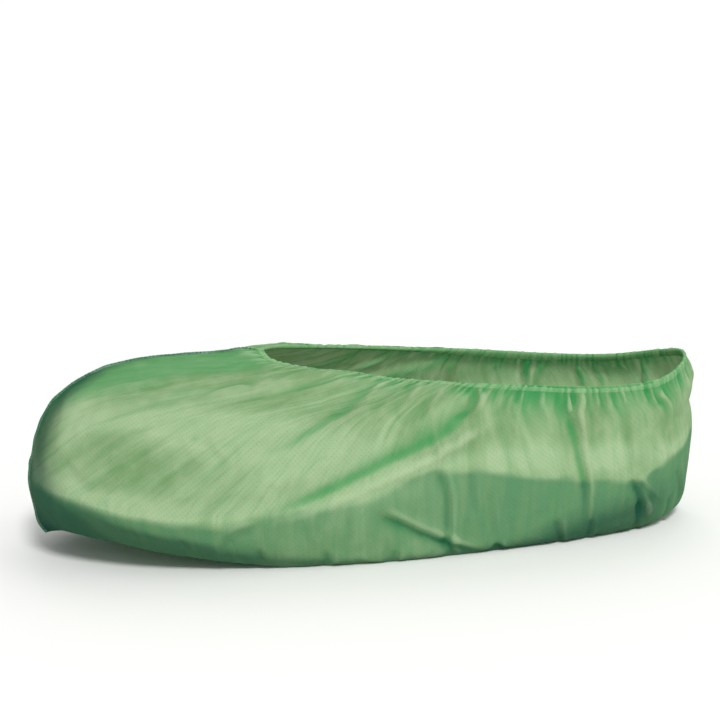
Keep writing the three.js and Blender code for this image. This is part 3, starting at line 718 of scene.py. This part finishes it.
def spunbond(name, shoe_lit, patchy, under_shade_colour, let_through):
    """Spunbond polypropylene: fibres laid at random and pressed together in a grid of small points.

    It is thin and matt, a little cloudy, and deeper where folds lay it double. Its colour also holds
    painted
    light: a painted highlight on its ridges, painted shade in its valleys, gathers and below the shoe's
    edge, and painted light from the white shoe behind it.
    """
    material, tree = new_material(name)
    place = add_node(tree, "TexCoord").outputs["Object"]
    along_cloth, up_cloth, slack_shade, painted_under_shade, raised, gathers_and_painted_shade, doubled_and_fold_shade, drag, painted_shoe_light, side = (
        add_node(tree, "Attribute", attribute_name=layer).outputs["Fac"]
        for layer in ("along_cloth", "up_cloth", "slack_shade", "painted_under_shade", "raised", "gathers_and_painted_shade", "doubled_and_fold_shade", "drag",
                      "painted_shoe_light", "side"))
    waves = []
    for along in (along_cloth, up_cloth):
        turns = add_node(tree, "Math", operation="MULTIPLY", _0=along, _1=2 * math.pi / BOND_PITCH)
        waves.append(add_node(tree, "Math", operation="SINE", _0=turns))
    crossed = add_node(tree, "Math", operation="MULTIPLY", _0=waves[0], _1=waves[1])
    bond = add_node(tree, "MapRange", interpolation_type="SMOOTHSTEP", _0=crossed, _1=0.3, _2=0.75)
    cloud = add_node(tree, "TexNoise", Scale=1 / CLOUD_SIZE, Detail=5, Vector=place)
    fibre = add_node(tree, "TexNoise", Scale=1 / FIBRE_SIZE, Detail=3, Distortion=1.5, Vector=place)
    creases = []
    for index, (long, thin, detail) in enumerate(CREASES):
        across = add_node(tree, "Math", operation="MULTIPLY", _0=drag, _1=thin)
        apart = add_node(tree, "Math", operation="ADD", _0=side, _1=CREASES_APART * index)
        spot = add_node(tree, "CombineXYZ", X=across, Y=up_cloth, Z=apart)
        creases.append(add_node(tree, "TexNoise", Scale=1 / long, Detail=detail, Distortion=0.6,
                                Vector=spot))
    streak, hair, patch = creases
    from_middle = add_node(tree, "Math", operation="SUBTRACT", _0=hair, _1=0.5)
    from_middle = add_node(tree, "Math", operation="ABSOLUTE", _0=from_middle)
    hair_line = add_node(tree, "MapRange", interpolation_type="SMOOTHSTEP", _0=from_middle, _1=0.025, _2=0)
    # Painted light from the white shoe behind the cloth: by place, by patches and by the faint creases.
    shoe_light_share = add_node(tree, "MapRange", interpolation_type="SMOOTHSTEP", _0=patch, _1=0.35, _2=0.65,
                     _3=-0.25, _4=0.25)
    shoe_light_share = add_node(tree, "Math", operation="MULTIPLY_ADD", _0=streak, _1=0.5, _2=shoe_light_share)
    shoe_light_share = add_node(tree, "Math", operation="ADD", _0=painted_shoe_light, _1=shoe_light_share)
    colour = add_node(tree, "Mix", data_type="RGBA", _0=shoe_light_share, _6=patchy, _7=shoe_lit).outputs[2]
    faint = add_node(tree, "MapRange", interpolation_type="SMOOTHSTEP", _0=streak, _1=0.35, _2=0.7,
                     _4=0.35)
    hung_shade = add_node(tree, "Mix", data_type="RGBA", _0=faint, _6=CLOTH_HANGING_SHADE, _7=patchy)
    deep_and_fold_shade = add_node(tree, "Mix", data_type="RGBA", _0=slack_shade, _6=CLOTH_DEEP,
                        _7=CLOTH_DEEP_HANGING_SHADE).outputs[2]
    for value, comes_in, start, full, strength, towards in (
            # what shows, how it comes in, from which value to which, how strongly, and in which colour
            (cloud, "SMOOTHSTEP", 0.4, 0.7, 0.2, CLOTH_PALE_AND_HIGHLIGHT),
            (streak, "SMOOTHSTEP", 0.45, 0.75, 0.1, CLOTH_PALE_AND_HIGHLIGHT),
            (streak, "SMOOTHSTEP", 0.5, 0.25, 0.12, CLOTH_DEEP),
            # painted shade on the slack cloth below the shoe's edge
            (slack_shade, "LINEAR", 0, 1, 1, hung_shade.outputs[2]),
            # painted shade in the hair-line creases
            (hair_line, "LINEAR", 0, 1, 0.14, CLOTH_DEEP),
            # painted shade in the gathers, with the deeper green of bunched cloth
            (gathers_and_painted_shade, "LINEAR", 0, 1, 0.75, CLOTH_DEEP),
            # deeper green of doubled cloth, with painted shade in the fold valleys
            (doubled_and_fold_shade, "SMOOTHSTEP", 0.05, 1, 0.75, deep_and_fold_shade),
            # painted shade in the valleys
            (raised, "SMOOTHSTEP", -0.1, -1.6, 0.6, deep_and_fold_shade),
            # painted highlight on the ridges
            (raised, "SMOOTHSTEP", 0.1, 1.5, 0.45, CLOTH_PALE_AND_HIGHLIGHT),
            (bond, "LINEAR", 0, 1, 0.13, CLOTH_DEEP),
            # painted shade under the shoe's edge, at the toe's end and corner
            (painted_under_shade, "LINEAR", 0, 1, 1, under_shade_colour)):
        share = add_node(tree, "MapRange", interpolation_type=comes_in, clamp=False, _0=value,
                         _1=start, _2=full, _4=strength)
        colour = add_node(tree, "Mix", data_type="RGBA", _0=share, _6=colour, _7=towards).outputs[2]
    fibres = add_node(tree, "Math", operation="MULTIPLY", _0=fibre, _1=0.6)
    relief = add_node(tree, "Math", operation="SUBTRACT", _0=fibres, _1=bond)
    pressed = add_node(tree, "Bump", Strength=0.45, Distance=0.15 * MM, Height=relief)
    creased = add_node(tree, "Math", operation="MULTIPLY_ADD", _0=hair_line, _1=-0.12, _2=streak)
    bump = add_node(tree, "Bump", Strength=0.5, Distance=0.8 * MM, Height=creased, Normal=pressed)
    surface = add_node(tree, "BsdfPrincipled", Roughness=0.8, IOR=1.49, Specular_IOR_Level=0.05,
                       Base_Color=colour, Normal=bump)
    behind = add_node(tree, "BsdfTranslucent", Color=colour, Normal=bump)
    both = add_node(tree, "MixShader", _0=let_through, _1=surface, _2=behind)
    add_node(tree, "OutputMaterial", Surface=both)
    return material


def join_middle(piece):
    """Closes the sole's middle line, where the columns of both sides end in the same places."""
    bm = bmesh.new()
    bm.from_mesh(piece.data)
    bm.verts.ensure_lookup_table()
    bmesh.ops.remove_doubles(bm, verts=bm.verts[:COLUMNS], dist=0.001 * MM)
    bm.to_mesh(piece.data)
    bm.free()


join_middle(bag)
bag.data.materials.append(spunbond("spunbond_polypropylene", shoe_lit="#aecb9d", patchy="#86a976",
                                   under_shade_colour="#08433a", let_through=0.26))
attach(bag, "root")
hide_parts("cover_bag")

# ---- rim_elastic: the elastic round the mouth ----
# A flat braid of rubber threads and polyester yarn, laid along the edge of the cloth while stretched,
# before the hem is turned over it. It is fixed by the hem's welds.

ELASTIC_WIDE, ELASTIC_THICK = 1.8, 0.7
ELASTIC_IN, ELASTIC_BELOW = 1.35, 2.05
ELASTIC_SIDES = 12
YARN_PITCH = 0.8 * MM
rim_outward = spread(outward[-6][None].repeat(3, 0), 12)[1]


def rim_place(inward, below, surface=smooth):
    """Points round the rim, so far in from a surface and so far below the rim, in millimetres."""
    row = np.empty((COLUMNS, 3))
    for column in range(COLUMNS):
        at = np.interp(run_up[-1, column] - below, run_up[:, column], np.arange(len(run_up)))
        first = min(int(at), len(run_up) - 2)
        lower, upper = surface[first:first + 2, column]
        row[column] = lower + (at - first) * (upper - lower)
    return row - rim_outward * inward


corners = np.linspace(2 * math.pi, 0, ELASTIC_SIDES, endpoint=False)  # round the way that faces out
elastic_rows = [rim_place(ELASTIC_IN + ELASTIC_THICK / 2 * math.cos(corner),
                          ELASTIC_BELOW - ELASTIC_WIDE / 2 * math.sin(corner)) for corner in corners]
elastic = grid_mesh("covered_elastic", np.array(elastic_rows), closed_up=True)
store(elastic, "along_rim", np.broadcast_to(along_rim * MM, (ELASTIC_SIDES, COLUMNS)))
# Rubber threads braided over with white polyester yarn: matt, with fine ribs across its length.
rubber, rubber_tree = new_material("yarn_covered_rubber")
along = add_node(rubber_tree, "Attribute", attribute_name="along_rim").outputs["Fac"]
turns = add_node(rubber_tree, "Math", operation="MULTIPLY", _0=along, _1=2 * math.pi / YARN_PITCH)
yarn = add_node(rubber_tree, "Math", operation="SINE", _0=turns)
ribbed = add_node(rubber_tree, "Bump", Strength=0.6, Distance=0.1 * MM, Height=yarn)
# The yarn is greyer between its crests: painted shade in the grooves.
crests = add_node(rubber_tree, "MapRange", interpolation_type="SMOOTHSTEP", _0=yarn, _1=-1, _2=0.4)
white = add_node(rubber_tree, "Mix", data_type="RGBA", _0=crests, _6="#c3cbbb", _7="#eef1e8")
wound = add_node(rubber_tree, "BsdfPrincipled", Roughness=0.85, Base_Color=white.outputs[2],
                 Normal=ribbed)
add_node(rubber_tree, "OutputMaterial", Surface=wound)
elastic.data.materials.append(rubber)
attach(elastic, "root")
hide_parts("rim_elastic")

# ---- rim_hem: the edge turned in over the elastic ----
# The last of the cloth, turned in over the elastic so that it lies double, ruffled by the elastic and
# fixed by a row of small hot welds.

HEM_PLEAT = 2.6  # pitch of the hem's own fine pleats
HEM_RUFFLE = 0.15  # how far in the pleats draw the hem's outer face
HEM_OVER = [
    # how far in from the cloth, and how far below the rim
    (0.35, 3.6), (-0.15, 3.1), (-0.3, 2.4), (-0.35, 1.6),
]
HEM_TURN = [
    # how far in from the smooth shape, and how far below the rim
    (-0.05, 0.8), (0.15, 0.25), (0.55, 0.0), (1.2, 0.0), (1.7, 0.3), (1.95, 0.9), (2.05, 1.8), (2.0, 2.7),
    (1.9, 3.6),
]
hem_dice = np.random.default_rng(SEED + 1)
pleats = np.zeros(COLUMNS)
place = 0.0
while place < RIM_LENGTH - HEM_PLEAT / 2:
    offset = (along_rim - place + RIM_LENGTH / 2) % RIM_LENGTH - RIM_LENGTH / 2
    pleats += hem_dice.uniform(0.3, 1.0) * np.exp(-np.abs(offset / 0.7) ** 1.6)
    place += HEM_PLEAT * hem_dice.uniform(0.6, 1.4)
pleats = np.clip(0.5 * pleats + 0.5 * pinched[-6], 0, 1.2)


def on_hem(inward, below):
    """Points round the hem's outer face, so far in from the cloth and so far below the rim."""
    return rim_place(inward, below, cloth) - rim_outward * (HEM_RUFFLE * pleats)[:, None]


hem_rows = [on_hem(inward, below) for inward, below in HEM_OVER]
for inward, below in HEM_TURN:
    outer_face = 1 if inward < 0.6 else -0.25
    # How far inside the smooth shape the cloth itself lies, so that the hem's inner face clears it.
    sunk = ((rim_place(0, below) - rim_place(0, below, cloth)) * rim_outward).sum(-1)
    inner = spread(np.maximum(0, sunk + 0.4 - inward)[None].repeat(3, 0), 3)[1] if inward > 1 else 0 * sunk
    row = rim_place(inward, below) - rim_outward * (outer_face * 0.5 * pleats + inner)[:, None]
    row[:, 2] -= 0.45 * pleats * (1 - below / 4.5)
    hem_rows.append(row)
hem_rows = np.array(hem_rows)
hem = grid_mesh("hem_cloth", hem_rows)
hem_run = lengths_along(hem_rows, 0)
store(hem, "along_cloth", np.broadcast_to(length_from_waist(smooth)[-1] * MM, hem_run.shape))
store(hem, "up_cloth", hem_run * MM)
store(hem, "drag", np.broadcast_to(along_rim * MM, hem_run.shape))
# The hem's pleats: deeper green and painted shade in them, and a painted highlight between them.
store(hem, "doubled_and_fold_shade", np.broadcast_to(0.9 * pleats, hem_run.shape))
for layer in ("slack_shade", "painted_under_shade", "painted_shoe_light", "side"):
    store(hem, layer, np.zeros(hem_run.shape))
store(hem, "raised", np.broadcast_to(0.3 - 0.9 * pleats, hem_run.shape))
store(hem, "gathers_and_painted_shade", np.broadcast_to(0.15 + 0.3 * bunched, hem_run.shape))
hem.data.materials.append(spunbond("doubled_spunbond_polypropylene", shoe_lit="#a8cb98", patchy="#98bb88",
                                   under_shade_colour="#0d4a3a", let_through=0.15))
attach(hem, "root")
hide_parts("rim_hem")

# ---- hem_welds: the row of marks that holds the hem ----
# Small oval marks all round the mouth, where a hot tool has pressed the turned edge and the cloth together
# and melted the polypropylene to a film.

HEM_WELD_PITCH = 3.2 * MM
HEM_WELD_IN, HEM_WELD_BELOW = -0.32, 2.2  # in from the cloth, so a little out of it, and below the rim
HEM_WELD_SIZE = (1.0 * MM, 0.55 * MM, 0.16 * MM)  # along the rim, up it and thick
FILM_MOTTLE = 1.5 * MM


def weld_tree():
    """Geometry nodes that set a small pressed mark at each step along a line, facing as its points say."""
    tree = bpy.data.node_groups.new("weld_marks", "GeometryNodeTree")
    tree.interface.new_socket("Geometry", in_out="OUTPUT", socket_type="NodeSocketGeometry")
    for name, kind in (("Line", "Geometry"), ("Pitch", "Float"), ("Size", "Vector"), ("Seed", "Int"),
                       ("Material", "Material")):
        tree.interface.new_socket(name, in_out="INPUT", socket_type="NodeSocket" + kind)
    given = tree.nodes.new("NodeGroupInput").outputs
    line = add_node(tree, "GeometryNodeMeshToCurve", Mesh=given["Line"])
    steps = add_node(tree, "GeometryNodeCurveToPoints", mode="LENGTH", Curve=line, Length=given["Pitch"])
    facing = add_node(tree, "GeometryNodeInputNamedAttribute", data_type="FLOAT_VECTOR", Name="facing")
    face_out = add_node(tree, "FunctionNodeAlignRotationToVector", axis="Z", Vector=facing)
    along_line = add_node(tree, "FunctionNodeAlignRotationToVector", axis="X", pivot_axis="Z",
                          Rotation=face_out, Vector=steps.outputs["Tangent"])
    grain = add_node(tree, "GeometryNodeMeshUVSphere", Segments=8, Rings=4, Radius=0.5)
    mark = add_node(tree, "GeometryNodeTransform", Geometry=grain, Scale=given["Size"])
    uneven = add_node(tree, "FunctionNodeRandomValue", data_type="FLOAT", _2=0.75, _3=1.1,
                      Seed=given["Seed"])
    marks = add_node(tree, "GeometryNodeInstanceOnPoints", Points=steps, Instance=mark, Rotation=along_line,
                     Scale=uneven.outputs[1])
    real = add_node(tree, "GeometryNodeRealizeInstances", Geometry=marks)
    round_off = add_node(tree, "GeometryNodeSetShadeSmooth", Geometry=real)
    finished = add_node(tree, "GeometryNodeSetMaterial", Geometry=round_off, Material=given["Material"])
    add_node(tree, "NodeGroupOutput", Geometry=finished)
    return tree


def weld_marks(name, points, facings, pitch, size, material, closed=False):
    """A row of weld marks along points in millimetres, made by the nodes and turned to a plain mesh."""
    count = len(points)
    edges = [(i, (i + 1) % count) for i in range(count if closed else count - 1)]
    mesh = bpy.data.meshes.new(name + "_line")
    mesh.from_pydata((points * MM + SHIFT).tolist(), edges, [])
    layer = mesh.attributes.new("facing", "FLOAT_VECTOR", "POINT")
    layer.data.foreach_set("vector", np.ascontiguousarray(facings, np.float32).ravel())
    line = show(name + "_line", mesh)
    modifier = line.modifiers.new("weld_marks", "NODES")
    modifier.node_group = WELD_TREE
    given = {"Pitch": pitch, "Size": size, "Seed": SEED, "Material": material}
    for socket in WELD_TREE.interface.items_tree:
        if socket.name in given:
            modifier[socket.identifier] = given[socket.name]
    graph = bpy.context.evaluated_depsgraph_get()
    marks = show(name, bpy.data.meshes.new_from_object(line.evaluated_get(graph), depsgraph=graph))
    bpy.data.objects.remove(line)
    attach(marks, "root")
    return marks


def melted(name, colour):
    """Polypropylene melted to film by the welding horn: smooth, a little glossy, deeper than the cloth."""
    material, tree = new_material(name)
    place = add_node(tree, "TexCoord").outputs["Object"]
    mottled = add_node(tree, "TexNoise", Scale=1 / FILM_MOTTLE, Detail=2, Vector=place)
    paler = add_node(tree, "MapRange", interpolation_type="SMOOTHSTEP", _0=mottled, _1=0.35,
                     _2=0.65, _4=0.25)
    tone = add_node(tree, "Mix", data_type="RGBA", _0=paler, _6=colour, _7="#86b98a")
    film = add_node(tree, "BsdfPrincipled", Roughness=0.38, IOR=1.49, Base_Color=tone.outputs[2])
    add_node(tree, "OutputMaterial", Surface=film)
    return material


WELD_TREE = weld_tree()
hem_film = melted("hem_weld_film", "#4f9663")
hem_welds = weld_marks("hem_welds", on_hem(HEM_WELD_IN, HEM_WELD_BELOW), rim_outward, HEM_WELD_PITCH,
                       HEM_WELD_SIZE, hem_film, closed=True)

# ---- toe_seam and heel_seam: the welds that close the bag's two ends ----
# The folded sheet's two layers, welded together by a toothed wheel and trimmed, so that a thin flat edge
# stands out from the toe and the heel and ends in a point at the sole's corner.

FIN_OUT, FIN_UNEVEN, FIN_LEAN = 0.9, 0.12, 0.35  # how far it stands out, wavers and leans
FIN_CORNER_OUT, FIN_CORNER_RUN = 0.8, 5.0
FIN_FIRST_ROW = SOLE_ROWS - 2  # it starts under the sole's edge
FIN_TAPER = 9.0  # distance below the hem over which the edge sinks into the gathers
FIN_SECTION = [
    # sideways, and out as a share of how far it stands; below 0 it lies in the cloth
    (-0.6, -0.25), (-0.26, 0.12), (-0.2, 0.5), (-0.17, 0.93), (0.0, 1.0), (0.17, 0.93), (0.2, 0.5),
    (0.26, 0.12), (0.6, -0.25),
]
TOOTH_PITCH, TOOTH_SIZE = 1.7 * MM, (0.75 * MM, 0.9 * MM, 0.12 * MM)


def fin(name, column):
    """The thin welded edge up one column of the cloth, as a closed strip, and the marks on its faces."""
    root = cloth[FIN_FIRST_ROW:-3, column]
    out = spread(outward[FIN_FIRST_ROW:-3], 6)[:, column]
    out /= np.linalg.norm(out, axis=1, keepdims=True)
    sideways = cloth[FIN_FIRST_ROW:-3, (column + 1) % COLUMNS] - cloth[FIN_FIRST_ROW:-3, column - 1]
    sideways /= np.linalg.norm(sideways, axis=1, keepdims=True)
    run = lengths_along(root, 0)
    wave_dice = np.random.default_rng(SEED + column)
    phases = wave_dice.uniform(0, 2 * math.pi, 3)
    waves = sum(np.sin(run / size + phase) for size, phase in zip((1.9, 3.1, 6.3), phases)) / 3
    edge = run[SOLE_ROWS - FIN_FIRST_ROW]
    corner = FIN_CORNER_OUT * np.exp(-((run - edge) / FIN_CORNER_RUN) ** 2)
    stands = FIN_OUT * (1 + FIN_UNEVEN * waves) + corner
    stands *= np.clip(np.minimum((run[-1] - run) / FIN_TAPER, run / edge), 0.1, 1)
    lean = FIN_LEAN * np.roll(waves, 9)
    rings = []
    for side_by, out_by in FIN_SECTION:
        sway = side_by + lean * max(out_by, 0) ** 2
        rings.append(root + sideways * sway[:, None] + out * (stands * out_by)[:, None])
    rings = np.array(rings).swapaxes(0, 1)
    rings[..., 2] = np.maximum(rings[..., 2], 0.2)
    count, corners = rings.shape[:2]
    faces = [(i * corners + k, i * corners + (k + 1) % corners, (i + 1) * corners + (k + 1) % corners,
              (i + 1) * corners + k) for i in range(count - 1) for k in range(corners)]
    faces += [tuple(range(corners))[::-1], tuple((count - 1) * corners + k for k in range(corners))]
    mesh = bpy.data.meshes.new(name)
    mesh.from_pydata((rings.reshape(-1, 3) * MM + SHIFT).tolist(), [], faces)
    bm = bmesh.new()
    bm.from_mesh(mesh)
    bmesh.ops.recalc_face_normals(bm, faces=bm.faces)
    bm.to_mesh(mesh)
    mesh.shade_smooth()
    strip = show(name, mesh)
    strip.data.materials.append(seam_film)
    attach(strip, "root")
    middle = root + out * (0.55 * stands)[:, None] + sideways * (0.3 * lean)[:, None]
    marks = [weld_marks(f"{name}_teeth_{face}", middle + sideways * (0.2 * way), sideways * way,
                        TOOTH_PITCH, TOOTH_SIZE, tooth_film) for face, way in (("left", -1), ("right", 1))]
    return [strip, *marks]


# The welded edges' film is darker than the hem's: partly the deeper melted film, partly painted shade like
# the shaded cloth at the toe's end.
seam_film = melted("seam_weld_film", "#2f6e50")
tooth_film = melted("tooth_mark_film", "#29624a")
toe_fin = fin("toe_weld", 0)
heel_fin = fin("heel_weld", COLUMNS // 2)
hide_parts("toe_seam")
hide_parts("heel_seam")
